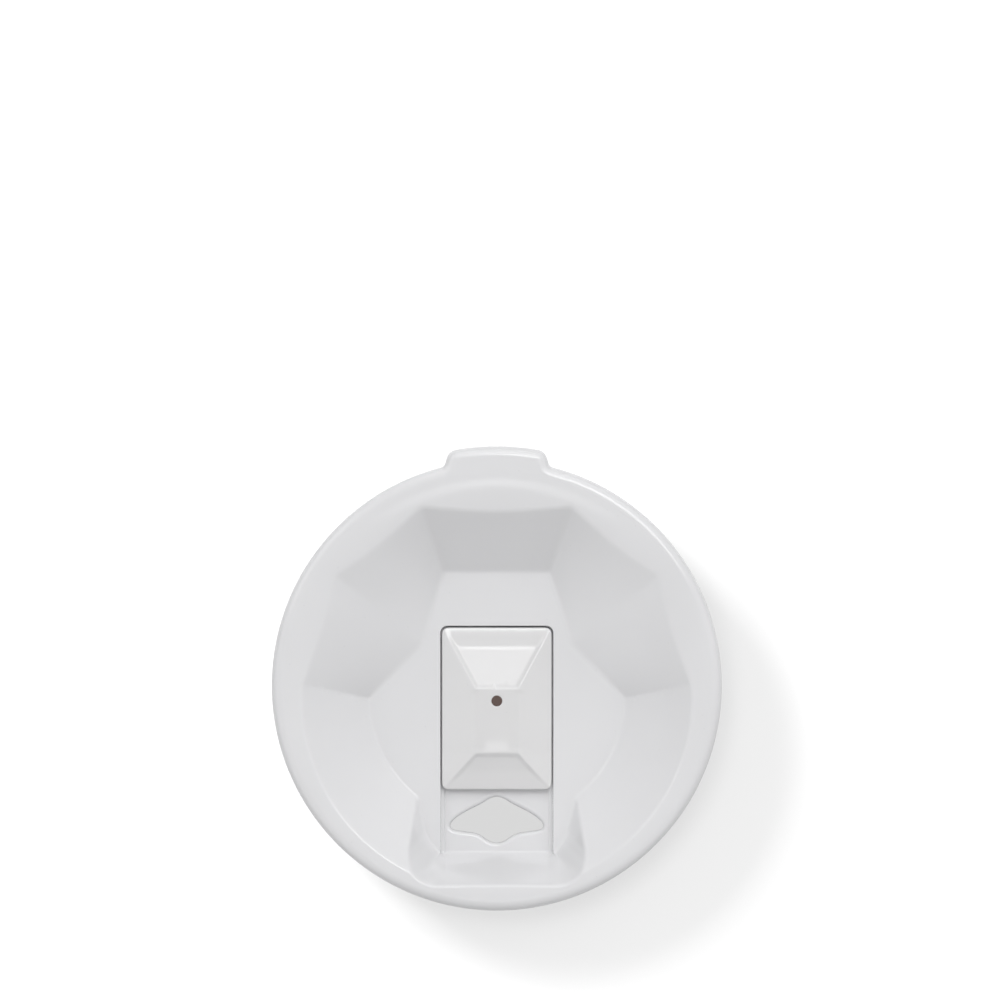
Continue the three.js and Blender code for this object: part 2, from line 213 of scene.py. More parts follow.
# The room's softboxes as (azimuth, elevation, strength, (full within, gone by)), all angles in degrees
ROOM_SOFTBOXES = (
    (78, 58, 1.55, (11, 14)),
    (52, 62, 3.5, (9, 12)),
    (82, 68, 5, (3, 5)),
    (145, 42, 1.5, (8, 16)),
    (256, 79, 1.4, (2, 5)),
    (284, 79, 1.4, (2, 5)),
)

# Photo: the rim's width and centre in its pixels, and the camera's height over the rim in metres
PHOTO_PIXELS = 1000
RIM_PIXELS = 450.2
RIM_PIXEL_X = 496.8
RIM_PIXEL_Y = 685.6
CAMERA_HEIGHT = 6


# Plan outlines


def arc(centre, radius, start, end, steps):
    """Points along an arc, both ends included."""
    angle = np.linspace(start, end, steps + 1)
    return np.stack([centre[0] + radius * np.cos(angle), centre[1] + radius * np.sin(angle)], 1)


def mirrored(right):
    """A closed outline from its right half, which runs from the front to the back."""
    off_axis = right[np.abs(right[:, 0]) > 1e-9]
    return np.vstack([right, (off_axis * [-1, 1])[::-1]])


def flange_outline(inset):
    """The flange with its thumb tab, drawn in by an inset."""
    normal = np.array([math.cos(TAB_FLANK_ANGLE), math.sin(TAB_FLANK_ANGLE)])
    along = np.array([-normal[1], normal[0]])
    flank = normal @ [TAB_HALF_WIDTH, RIM_RADIUS]

    def on_line(offset, reach):
        return normal * (flank + offset) + along * math.sqrt(reach**2 - (flank + offset) ** 2)

    base = on_line(TAB_BASE_RADIUS, RIM_RADIUS + TAB_BASE_RADIUS)
    corner = on_line(-TAB_CORNER_RADIUS, TAB_REACH - TAB_CORNER_RADIUS)
    base_angle = math.atan2(base[1], base[0])
    corner_angle = math.atan2(corner[1], corner[0])
    right = np.vstack([
        arc((0, 0), RIM_RADIUS - inset, -math.pi / 2, base_angle, RIM_STEPS),
        arc(base, TAB_BASE_RADIUS + inset, base_angle + math.pi, TAB_FLANK_ANGLE + math.pi, 8)[1:],
        arc(corner, TAB_CORNER_RADIUS - inset, TAB_FLANK_ANGLE, corner_angle, 10),
        arc((0, 0), TAB_REACH - inset, corner_angle, math.pi / 2, 10)[1:],
    ])
    return mirrored(right)


def rounded_outline(half_width, front, rear, radius, centre_x=0.0, steps=6):
    """A rectangle with rounded corners."""
    x = half_width - radius
    low, high = front + radius, rear - radius
    corners = ((x, low, -90), (x, high, 0), (-x, high, 90), (-x, low, 180))
    turns = [arc((cx, cy), radius, math.radians(a), math.radians(a + 90), steps) for cx, cy, a in corners]
    return np.vstack(turns) + [centre_x, 0]


def round_outline(radius, centre_y, steps=40):
    """A circle on the lid's middle plane."""
    return arc((0, centre_y), radius, -math.pi / 2, 1.5 * math.pi, steps)[:-1]


def hole_outline(steps=12):
    """The drinking hole."""
    t = np.linspace(0, 1, steps + 1)[:-1, None]
    pieces = []
    for curve in HOLE_CURVES:
        a, b, c, d = np.array(curve, float)
        pieces.append(a * (1 - t) ** 3 + 3 * b * t * (1 - t) ** 2 + 3 * c * t**2 * (1 - t) + d * t**3)
    last = np.array([HOLE_CURVES[-1][3]], float)
    from_front = np.vstack([*pieces, last])[::-1] + [0, MOUTH_FOOT]
    return mirrored(from_front)


def grown(outline, distance):
    """An anticlockwise outline moved outwards by a distance."""
    ahead = np.roll(outline, -1, 0) - outline
    behind = outline - np.roll(outline, 1, 0)
    tangent = ahead / np.linalg.norm(ahead, axis=1)[:, None]
    tangent = tangent + behind / np.linalg.norm(behind, axis=1)[:, None]
    tangent /= np.linalg.norm(tangent, axis=1)[:, None]
    return outline + distance * np.stack([tangent[:, 1], -tangent[:, 0]], 1)


def resampled(outline, spacing):
    """An outline with points at even spacing."""
    closed = np.vstack([outline, outline[:1]])
    length = np.concatenate([[0], np.cumsum(np.linalg.norm(np.diff(closed, axis=0), axis=1))])
    at = np.linspace(0, length[-1], max(8, int(length[-1] / spacing)) + 1)[:-1]
    return np.stack([np.interp(at, length, closed[:, 0]), np.interp(at, length, closed[:, 1])], 1)


def inside(points, outline):
    """Which points lie inside a closed outline."""
    x, y = points[:, 0], points[:, 1]
    result = np.zeros(len(points), bool)
    for (ax, ay), (bx, by) in zip(outline, np.roll(outline, -1, 0)):
        if ay == by:
            continue
        crosses = (ay > y) != (by > y)
        result ^= crosses & (x < (bx - ax) * (y - ay) / (by - ay) + ax)
    return result


# Heights of the moulded faces


def smooth(share):
    """A share from 0 to 1 with soft ends."""
    t = np.clip(share, 0, 1)
    return t * t * (3 - 2 * t)


def cross(a, b):
    """Cross product of plan vectors."""
    return a[..., 0] * b[..., 1] - a[..., 1] * b[..., 0]


def facet_share(x, y, corner):
    """How far up a twisted facet a point is: 0 on the floor's edge, 1 on the rim's."""
    f0, f1 = np.array(FLOOR_CORNERS[corner]), np.array(FLOOR_CORNERS[corner + 1])
    r0, r1 = np.array(RIM_CORNERS[corner]), np.array(RIM_CORNERS[corner + 1])
    a = np.stack([x, y], -1) - f0
    u, c = f1 - f0, r0 - f0
    v = (r1 - r0) - u
    square = -cross(u, v)
    linear = cross(a, v) - cross(u, c)
    constant = cross(a, c)
    root = np.sqrt(np.maximum(linear**2 - 4 * square * constant, 0))
    near = np.where(linear > 0, -linear - root, -linear + root)
    along = 2 * constant / np.where(np.abs(near) < 1e-9, 1e-9, near)
    other = near / (2 * square) if abs(square) > 1e-9 else along
    along = np.where(np.abs(along - 0.5) <= np.abs(other - 0.5), along, other)
    along = np.clip(along, -0.3, 1.3)
    foot = f0 + along[..., None] * u
    up = c + along[..., None] * v
    offset = np.stack([x, y], -1) - foot
    return (offset * up).sum(-1) / (up * up).sum(-1)


def cone_share(x, y):
    """How far up the cone a point is."""
    shift = CONE_RIM_CENTRE - CONE_FOOT_CENTRE
    grow = CONE_RIM_RADIUS - CONE_FOOT_RADIUS
    q = y - CONE_FOOT_CENTRE
    a = grow**2 - shift**2
    b = 2 * (CONE_FOOT_RADIUS * grow + shift * q)
    c = CONE_FOOT_RADIUS**2 - x**2 - q**2
    return (-b + np.sqrt(np.maximum(b**2 - 4 * a * c, 0))) / (2 * a)


def plane_through(p, q, r, x, y):
    """Height of a plane through three points."""
    p, q, r = (np.array(v, float) for v in (p, q, r))
    normal = np.cross(q - p, r - p)
    return p[2] - (normal[0] * (x - p[0]) + normal[1] * (y - p[1])) / normal[2]


def mouth_slope(x, y):
    """Height of the mouth's front slope, which turns round its foot's corners up to the creases."""
    out_x = np.maximum(x - MOUTH_HALF_WIDTH, 0)
    out_y = MOUTH_FOOT - y
    run, fall = PIER_CORNER[0] - MOUTH_HALF_WIDTH, MOUTH_FOOT - PIER_CORNER[1]
    past_crease = out_y * run < out_x * fall
    beside = (out_x * run + out_y * fall) / math.hypot(run, fall)
    away = np.where(out_x > 0, np.where(past_crease, beside, np.hypot(out_x, out_y)), out_y)
    return DISH_FLOOR + (DISH_RIM_HEIGHT - DISH_FLOOR) / MOUTH_SLOPE_WIDTH * away


def dish_height(x, y):
    """Height of the dish's walls and floor, with sharp edges."""
    x = np.abs(x)
    p = np.stack([x, y], -1)
    share = cone_share(x, y)
    for corner in (2, 1, 0):
        foot = np.array(FLOOR_CORNERS[corner + 1])
        crease = np.array(RIM_CORNERS[corner + 1]) - foot
        behind = cross(crease, p - foot) > 0
        share = np.where(behind, facet_share(x, y, corner), share)
    wall = DISH_FLOOR + (DISH_RIM_HEIGHT - DISH_FLOOR) * share
    side = plane_through(PIER_HEAD, PIER_FOOT, PIER_SHOULDER, x, y)
    corner = plane_through(MOUTH_CORNER, PIER_SHOULDER, PIER_CORNER, x, y)
    mouth = np.maximum(np.maximum(side, corner), mouth_slope(x, y))
    wall = np.maximum(wall, mouth_slope(0, y))
    wall = np.where(y < PIER_HEAD[1] + 4, np.minimum(wall, mouth), wall)
    return np.maximum(wall, DISH_FLOOR)


def crown_height(x, y):
    """Height of the rim's top, which falls a little towards the dish."""
    inward = np.clip((CROWN_RADIUS - np.hypot(x, y)) / CROWN_WIDTH, 0, 2)
    return LID_HEIGHT - CROWN_FALL * inward**1.6


def round_brush():
    """Offsets over a round brush of radius 1."""
    offsets = [(0.0, 0.0)]
    for share, count in ((0.4, 6), (0.75, 10), (1.0, 14)):
        angles = np.arange(count) * 2 * math.pi / count
        offsets += [(share * math.cos(a), share * math.sin(a)) for a in angles]
    return offsets


BRUSH = round_brush()


def softened(height, x, y, reach):
    """A height with its edges rounded, as the mean over a round brush."""
    total = np.zeros_like(x)
    for dx, dy in BRUSH:
        total += height(x + dx * reach, y + dy * reach)
    return total / len(BRUSH)


def rim_and_dish(x, y):
    """Height of the rim and the dish inside it, with sharp edges."""
    return np.minimum(crown_height(x, y), dish_height(x, y))


def box_distance(x, y, half_width, front, rear, radius):
    """Distance outside a rectangle with rounded corners, negative inside."""
    qx = np.abs(x) - half_width + radius
    qy = np.abs(y - (front + rear) / 2) - (rear - front) / 2 + radius
    outside = np.hypot(np.maximum(qx, 0), np.maximum(qy, 0))
    return outside + np.minimum(np.maximum(qx, qy), 0) - radius


def lid_top_height(x, y):
    """Height of the lid's whole top face."""
    settings = bpy.context.scene.mug_lid
    soft = settings.facet_softness / MM
    crisp = settings.edge_softness / MM
    reach = crisp + (soft - crisp) * smooth((y - SOFT_FROM) / SOFT_OVER)
    top = softened(rim_and_dish, x, y, reach)
    front = MOUTH_FOOT - MOUTH_SLOPE_WIDTH - 3
    to_channel = box_distance(x, y, CHANNEL_HALF_WIDTH, front, CHANNEL_REAR, CHANNEL_CORNER_RADIUS)
    bed_half_width = CHANNEL_HALF_WIDTH - LEDGE_WIDTH
    to_bed = box_distance(x, y, bed_half_width, front, CHANNEL_REAR, CHANNEL_CORNER_RADIUS)
    past_foot = np.clip((MOUTH_FOOT - y) / MOUTH_SLOPE_WIDTH, 0, 1)
    step = STEP_WIDTH + np.minimum(past_foot * STEP_CLIMB, STEP_SPREAD)
    bed = LEDGE_TOP + (CHANNEL_FLOOR - LEDGE_TOP) * smooth(0.5 - to_bed / step)
    return top + (bed - DISH_FLOOR) * smooth(0.5 - to_channel / step) * (1 - past_foot)


def lid_under_height(x, y):
    """Height of the face under the dish, one wall below its top face."""
    lowest = np.full_like(x, LID_HEIGHT)
    for share, count in ((0.0, 1), (0.5, 8), (0.9, 12)):
        drop = WALL * math.sqrt(1 - share**2)
        for k in range(count):
            turn = 2 * math.pi * k / count
            dx, dy = share * WALL * math.cos(turn), share * WALL * math.sin(turn)
            lowest = np.minimum(lowest, rim_and_dish(x + dx, y + dy) - drop)
    block = box_distance(x, y, CHANNEL_HALF_WIDTH + WALL, MOUTH_FOOT - WALL, CHANNEL_REAR + WALL, 2.0)
    pad = np.minimum(lowest, CHANNEL_UNDERSIDE)
    return lowest + (pad - lowest) * smooth(0.5 - block / 0.5)


def gate_roof(x, y):
    """Height of the gate's top: a hip roof with a hollowed panel at each end."""
    half = np.abs(x)
    side_width = GATE_HALF_WIDTH - PLATEAU_HALF_WIDTH
    rear_length, front_length = GATE_REAR - PLATEAU_REAR, PLATEAU_FRONT - GATE_FRONT
    side = (GATE_HALF_WIDTH - half) / side_width
    rear = (GATE_REAR - y) / rear_length
    front = (y - GATE_FRONT) / front_length
    past_ends = smooth((rear - 1) * rear_length / 1.2) * smooth((front - 1) * front_length / 1.2)
    ridge = RIDGE_DROP * np.exp(-(((half - PLATEAU_HALF_WIDTH) / RIDGE_WIDTH) ** 2)) * past_ends
    roof = GATE_EDGE + GATE_RISE * np.clip(np.minimum(side, np.minimum(rear, front)), 0, 1) - ridge
    nose = NOSE_START - PLATEAU_FRONT
    roof = roof - NOSE_DROP * (np.clip(NOSE_START - y, 0, nose) / nose) ** 2
    for share, length in ((rear, rear_length), (front, front_length)):
        from_side = (side - share) / math.hypot(1 / side_width, 1 / length)
        from_border = np.minimum(from_side, (1 - share) * length)
        roof = roof - PANEL_DEPTH * smooth(from_border / PANEL_BORDER) * smooth(share * length / PANEL_HOLLOW)
    return roof


def gate_top_height(x, y):
    """Height of the gate's top with its edges rounded."""
    return softened(gate_roof, x, y, GATE_SOFTNESS)


# Meshes


def fine_points(height, outline, fine):
    """Points over an outline's area, closer together where the height's slope changes."""
    low, high = outline.min(0), outline.max(0)
    counts = np.ceil((high - low) / COARSE_CELL).astype(int) + 1
    gx, gy = np.meshgrid(np.arange(counts[0]), np.arange(counts[1]))
    cells = np.stack([gx.ravel(), gy.ravel()], 1) * COARSE_CELL + low
    size = COARSE_CELL
    kept = []
    while len(cells):
        half = size / 2
        reach = BEND_REACH * half
        x, y = cells[:, 0], cells[:, 1]
        middle = height(x, y)
        bend = np.zeros(len(cells))
        for dx, dy in ((1, 0), (0, 1), (0.7, 0.7), (0.7, -0.7)):
            ends = height(x + dx * reach, y + dy * reach) + height(x - dx * reach, y - dy * reach)
            bend = np.maximum(bend, np.abs(ends - 2 * middle) / reach)
        split = (bend > BEND * max(1, SMALL_CELL / size)) & (size > fine)
        leaf = cells[~split]
        kept.append(leaf)
        for i in (-1, 1):
            for j in (-1, 1):
                kept.append(leaf + [i * half, j * half])
        cells = np.vstack([cells[split] + [i * half / 2, j * half / 2] for i in (-1, 1) for j in (-1, 1)])
        size = half
    points = np.round(np.vstack(kept), 4)
    return np.unique(points, axis=0)


class Skin:
    """A closed surface, put together from rings of points and sheets between them."""

    def __init__(self):
        self.points = []
        self.faces = []
        self.normals = {}

    def add(self, flat, height):
        """Points at a height, or at a height for each. Returns their indices."""
        start = len(self.points)
        heights = np.broadcast_to(height, (len(flat),))
        self.points += [(p[0], p[1], h) for p, h in zip(flat, heights)]
        return list(range(start, start + len(flat)))

    def strip(self, first, second):
        """Faces between two rings of indices."""
        count = len(first)
        for i in range(count):
            j = (i + 1) % count
            self.faces.append((first[i], first[j], second[j], second[i]))

    def walls(self, start, rings):
        """Strips from a ring of indices through rings of (outline, height). Returns the last ring."""
        for outline, height in rings:
            ring = self.add(outline, height)
            self.strip(start, ring)
            start = ring
        return start

    def sheet(self, outer, holes, height, fine=None, faces_up=True):
        """Triangles between an outer ring and the rings of its holes, at a height for each place."""
        rings = [outer, *holes]
        flat = [np.array([self.points[i][:2] for i in ring]) for ring in rings]
        extra = np.zeros((0, 2))
        if fine is not None:
            extra = fine_points(height, flat[0], fine)
            extra = extra[inside(extra, grown(flat[0], -SHEET_MARGIN))]
            for hole in flat[1:]:
                extra = extra[~inside(extra, grown(hole, SHEET_MARGIN))]
        source = [i for ring in rings for i in ring]
        source += self.add(extra, height(extra[:, 0], extra[:, 1]) if len(extra) else 0)
        edges, start = [], 0
        for ring in rings:
            edges += [(start + i, start + (i + 1) % len(ring)) for i in range(len(ring))]
            start += len(ring)
        flat_points = [Vector(self.points[i][:2]) for i in source]
        made = delaunay_2d_cdt(flat_points, edges, [], 0, 1e-6)
        if any(not origin for origin in made[3]):
            raise RuntimeError("two outlines of a sheet cross")
        index = [source[origin[0]] for origin in made[3]]
        triangles = np.array([[index[k] for k in face] for face in made[2]])
        place = np.array(self.points)
        centres = place[triangles].mean(1)[:, :2]
        keep = inside(centres, flat[0])
        for hole in flat[1:]:
            keep &= ~inside(centres, hole)
        self.faces += [tuple(t) for t in triangles[keep].tolist()]
        if fine is not None:
            self.set_normals(source, height, faces_up)

    def set_normals(self, indices, height, faces_up):
        """Shading normals from the slope of a height."""
        place = np.array([self.points[i] for i in indices])
        x, y, d = place[:, 0], place[:, 1], SLOPE_STEP
        slope_x = (height(x + d, y) - height(x - d, y)) / (2 * d)
        slope_y = (height(x, y + d) - height(x, y - d)) / (2 * d)
        normal = np.stack([-slope_x, -slope_y, np.ones_like(x)], 1)
        normal /= np.linalg.norm(normal, axis=1)[:, None]
        if not faces_up:
            normal = -normal
        self.normals.update(zip(indices, normal))

    def piece(self, name):
        """The finished mesh as an object in the frame, with its faces outwards."""
        mesh = bpy.data.meshes.new(name)
        in_frame = (np.array(self.points) + [0, RIM_CENTRE_Y, 0]) * MM
        mesh.from_pydata(in_frame.tolist(), [], self.faces)
        body = bmesh.new()
        body.from_mesh(mesh)
        bmesh.ops.recalc_face_normals(body, faces=body.faces)
        body.to_mesh(mesh)
        loose = [v for v in body.verts if not v.link_faces]
        open_edges = [e for e in body.edges if len(e.link_faces) != 2]
        body.free()
        if loose or open_edges:
            raise RuntimeError(f"{name} has {len(loose)} loose points and {len(open_edges)} open edges")
        mesh.shade_smooth()
        normals = np.array([n.vector for n in mesh.vertex_normals])
        for i, normal in self.normals.items():
            if normals[i] @ normal > 0.2:
                normals[i] = normal
        mesh.normals_split_custom_set_from_vertices(normals.tolist())
        made = bpy.data.objects.new(name, mesh)
        bpy.context.scene.collection.objects.link(made)
        return made


def rounded_edge(outline, top, radius, steps, grow=1.0):
    """Rings over a rounded edge, from its flat top to the upright wall at the outline."""
    rings = []
    for k in range(1, steps + 1):
        turn = math.pi / 2 * k / steps
        offset = -radius * (1 - math.sin(turn)) * grow
        rings.append((grown(outline, offset) if k < steps else outline, top - radius * (1 - math.cos(turn))))
    return rings


def foot_edge(outline, bottom, radius, steps, grow=1.0):
    """Rings from the upright wall at the outline over a rounded edge to the flat bottom."""
    rings = []
    for k in range(steps + 1):
        turn = math.pi / 2 * k / steps
        offset = -radius * (1 - math.cos(turn)) * grow
        rings.append((grown(outline, offset) if k else outline, bottom + radius * (1 - math.sin(turn))))
    return rings


def through_hole(skin, outline, top, bottom, top_edge, bottom_edge):
    """A hole with rounded edges. Returns its rings of indices on the top and bottom faces."""
    upper = skin.add(grown(outline, top_edge), top)
    rings = rounded_edge(outline, top, top_edge, 4, -1.0) + foot_edge(outline, bottom, bottom_edge, 3, -1.0)
    lower = skin.walls(upper, rings)
    return upper, lower


def lid_holes(skin):
    """The drinking hole, the two peg slots and the vent through the channel's floor."""
    half_width = PEG_HALF[0] + SLOT_CLEARANCE
    rear = PEG_Y + PEG_HALF[1] + SLOT_CLEARANCE
    front = PEG_Y - PEG_HALF[1] - TRAVEL - SLOT_CLEARANCE
    mouth = grown(resampled(hole_outline(), 0.28), -HOLE_INSET) - [0, HOLE_SHIFT]
    outlines = [(resampled(mouth, 0.28), bpy.context.scene.mug_lid.hole_edge / MM)]
    for side in (-1, 1):
        slot = rounded_outline(half_width, front, rear, SLOT_CORNER_RADIUS, side * PEG_X, 3)
        outlines.append((slot, SLOT_EDGE))
    outlines.append((round_outline(VENT_RADIUS, VENT_Y), 0.2))
    tops = [lid_top_height(*grown(line, edge).T) for line, edge in outlines]
    return [
        through_hole(skin, line, top, CHANNEL_UNDERSIDE, edge, FOOT_EDGE)
        for (line, edge), top in zip(outlines, tops)
    ]


def plug_profile():
    """The plug from the flange's seat down its outside, round its foot and up inside, as (radius, height)."""
    seat, foot = FLANGE_UNDERSIDE, PLUG_EDGE
    profile = [(RIM_RADIUS - 0.15, seat + 0.15), (RIM_RADIUS - UNDERSIDE_EDGE, seat)]
    profile += [(PLUG_RADIUS + 0.4, seat), (PLUG_RADIUS + 0.12, seat - 0.12), (PLUG_RADIUS, seat - 0.4)]
    profile += [(PLUG_RADIUS, GROOVE_TOP + 0.1), (PLUG_RADIUS - 0.1, GROOVE_TOP), (GROOVE_RADIUS, GROOVE_TOP)]
    profile += [(GROOVE_RADIUS, GROOVE_FLOOR), (PLUG_RADIUS - 0.1, GROOVE_FLOOR)]
    profile += [(PLUG_RADIUS, GROOVE_FLOOR - 0.1)]
    turns = [math.pi / 2 * k / 4 for k in range(5)]
    profile += [(PLUG_RADIUS - foot * (1 - math.cos(t)), foot * (1 - math.sin(t))) for t in turns]
    inner = 0.4
    profile += [(PLUG_INSIDE + inner * (1 - math.sin(t)), inner * (1 - math.cos(t))) for t in turns]
    return profile


def build_lid_shell():
    """The lid's moulding, from the rounded edge of its rim down to the pocket under its dish."""
    skin = Skin()
    edge = bpy.context.scene.mug_lid.rim_edge / MM
    drop = RIM_EDGE_DROP * edge
    steps = 10
    crown = skin.add(flange_outline(edge), LID_HEIGHT)
    ring = crown
    for k in range(1, steps + 1):
        turn = math.pi / 2 * k / steps
        outline = flange_outline(edge * (1 - math.sin(turn)))
        ring = skin.walls(ring, [(outline, LID_HEIGHT - drop * (1 - math.cos(turn)))])
    outline = flange_outline(0)
    polar = np.arctan2(outline[:, 1], outline[:, 0])
    direction = np.stack([np.cos(polar), np.sin(polar)], 1)
    on_tab = np.hypot(*outline.T) > RIM_RADIUS + 0.05
    tab_bottom = LID_HEIGHT - TAB_THICKNESS
    ring = skin.walls(ring, [(outline, tab_bottom + UNDERSIDE_EDGE)])
    for inset, height in ((0.15, 0.15), (UNDERSIDE_EDGE, 0)):
        under = np.where(on_tab[:, None], flange_outline(inset), RIM_RADIUS * direction)
        ring = skin.walls(ring, [(under, tab_bottom + height)])
    for height in (tab_bottom - 0.15, FLANGE_UNDERSIDE + UNDERSIDE_EDGE):
        ring = skin.walls(ring, [(RIM_RADIUS * direction, height)])
    for radius, height in plug_profile():
        ring = skin.walls(ring, [(radius * direction, height)])
    roof_line = (PLUG_INSIDE - 0.4) * direction
    roof = lid_under_height(*roof_line.T)
    inner_corner = [(PLUG_INSIDE * direction, roof - 0.5), ((PLUG_INSIDE - 0.12) * direction, roof - 0.15)]
    ring = skin.walls(ring, [*inner_corner, (roof_line, roof)])
    holes = lid_holes(skin)
    skin.sheet(crown, [upper for upper, _ in holes], lid_top_height, TOP_CELL)
    skin.sheet(ring, [lower for _, lower in holes], lid_under_height, UNDER_CELL, faces_up=False)
    return skin.piece("lid_moulding")


def build_gate():
    """The gate's block with its inset panels, vent and barbed pegs."""
    skin = Skin()
    edge = bpy.context.scene.mug_lid.gate_edge / MM
    outline = rounded_outline(GATE_HALF_WIDTH, GATE_FRONT, GATE_REAR, GATE_CORNER_RADIUS, steps=10)
    outline = resampled(outline, 0.3)
    inner = grown(outline, -edge)
    start = gate_top_height(*inner.T)
    top = skin.add(inner, start)
    ring = top
    for k in range(1, 6):
        turn = math.pi / 2 * k / 5
        line = grown(outline, -edge * (1 - math.sin(turn)))
        ring = skin.walls(ring, [(line, start - edge * (1 - math.cos(turn)))])
    ring = skin.walls(ring, foot_edge(outline, GATE_BOTTOM, FOOT_EDGE, 3))
    vent = round_outline(VENT_MOUTH_RADIUS, VENT_Y)
    lip = grown(vent, VENT_LIP)
    upper = skin.add(lip, gate_top_height(*lip.T))
    vent_edge = rounded_edge(vent, GATE_TOP - 0.02, VENT_LIP, 4, -1.0)
    vent_foot = foot_edge(vent, GATE_BOTTOM, SLOT_EDGE, 2, -1.0)
    lower = skin.walls(upper, vent_edge + vent_foot)
    pegs = []
    for side in (-1, 1):
        def section(grow_x, shrink=0.0):
            centre = side * (PEG_X + grow_x / 2)
            half = PEG_HALF[0] + grow_x / 2 - shrink
            reach = PEG_HALF[1] - shrink
            return rounded_outline(half, PEG_Y - reach, PEG_Y + reach, PEG_CORNER_RADIUS, centre, 4)
        root = skin.add(section(0), GATE_BOTTOM)
        barb = [(section(0), BARB_TOP)]
        barb += [(section(PEG_BARB), BARB_TOP - 0.1), (section(PEG_BARB), BARB_TOP - 0.3)]
        barb += [(section(0, 0.1), BARB_BOTTOM + 0.05), (section(0, 0.2), BARB_BOTTOM)]
        tip = skin.walls(root, barb)
        skin.sheet(tip, [], lambda x, y: np.full_like(x, BARB_BOTTOM))
        pegs.append(root)
    skin.sheet(top, [upper], gate_top_height, TOP_CELL)
    skin.sheet(ring, [lower, *pegs], lambda x, y: np.full_like(x, GATE_BOTTOM))
    return skin.piece("gate_moulding")


def build_keeper():
    """The keeper plate under the floor, with its two sockets and the vent's window."""
    skin = Skin()
    front, rear = KEEPER_LOW.y / MM - RIM_CENTRE_Y, KEEPER_HIGH.y / MM - RIM_CENTRE_Y
    half_width = (KEEPER_HIGH.x - KEEPER_LOW.x) / 2 / MM
    outline = resampled(rounded_outline(half_width, front, rear, KEEPER_CORNER_RADIUS, steps=8), 0.4)
    top = skin.add(grown(outline, -FOOT_EDGE), KEEPER_TOP)
    over = rounded_edge(outline, KEEPER_TOP, FOOT_EDGE, 4)
    ring = skin.walls(top, over + foot_edge(outline, KEEPER_BOTTOM, FOOT_EDGE, 4))
    lines = [round_outline(WINDOW_RADIUS, VENT_Y)]
    for side in (-1, 1):
        half = (PEG_HALF[0] + SLOT_CLEARANCE, PEG_HALF[1] + SLOT_CLEARANCE)
        lines.append(rounded_outline(half[0], PEG_Y - half[1], PEG_Y + half[1], 0.3, side * PEG_X, 4))
    holes = [through_hole(skin, line, KEEPER_TOP, KEEPER_BOTTOM, SLOT_EDGE, SLOT_EDGE) for line in lines]
    skin.sheet(top, [upper for upper, _ in holes], lambda x, y: np.full_like(x, KEEPER_TOP))
    skin.sheet(ring, [lower for _, lower in holes], lambda x, y: np.full_like(x, KEEPER_BOTTOM))
    return skin.piece("keeper_plate")


def ring_profile():
    """Half section of the sealing ring, as (radius, height): a band with two rounded lips."""
    inner, outer = GROOVE_RADIUS + 0.2, PLUG_RADIUS - 0.1
    bottom, top = RING_LOW.z / MM, RING_HIGH.z / MM
    reach = RING_HIGH.x / MM
    pitch = (top - bottom) / 2
    profile = [(inner, bottom + 0.15), (inner + 0.15, bottom), (outer - 0.15, bottom), (outer, bottom + 0.12)]
    for lip in range(2):
        root = bottom + (lip + 0.15) * pitch
        profile += [(outer, root), (outer + 0.15, root + 0.05), (reach - 0.3, root + 0.6)]
        tip_radius = 0.22
        for turn in np.linspace(-1.1, 1.6, 6):
            out, up = tip_radius * math.cos(turn), tip_radius * math.sin(turn)
            profile.append((reach - tip_radius + out, root + 0.9 + up))
        profile += [(outer + 0.2, root + 1.0), (outer, root + 1.1)]
    return profile + [(outer, top - 0.15), (outer - 0.15, top), (inner + 0.15, top), (inner, top - 0.15)]


def build_sealing_ring():
    """The silicone ring round the plug."""
    skin = Skin()
    angles = np.linspace(0, 2 * math.pi, 241)[:-1]
    direction = np.stack([np.cos(angles), np.sin(angles)], 1)
    rings = [skin.add(radius * direction, height) for radius, height in ring_profile()]
    for first, second in zip(rings, rings[1:] + rings[:1]):
        skin.strip(first, second)
    return skin.piece("sealing_ring_lips")


# Finishes


def link(tree, output, target):
    """Joins an output of a node to an input."""
    tree.links.new(output, target)


def node(tree, kind, **values):
    """A new shader node, its inputs or properties set by name."""
    made = tree.nodes.new(kind)
    for name, value in values.items():
        key = name.replace("_", " ")
        if key in made.inputs:
            made.inputs[key].default_value = value
        else:
            setattr(made, name, value)
    return made


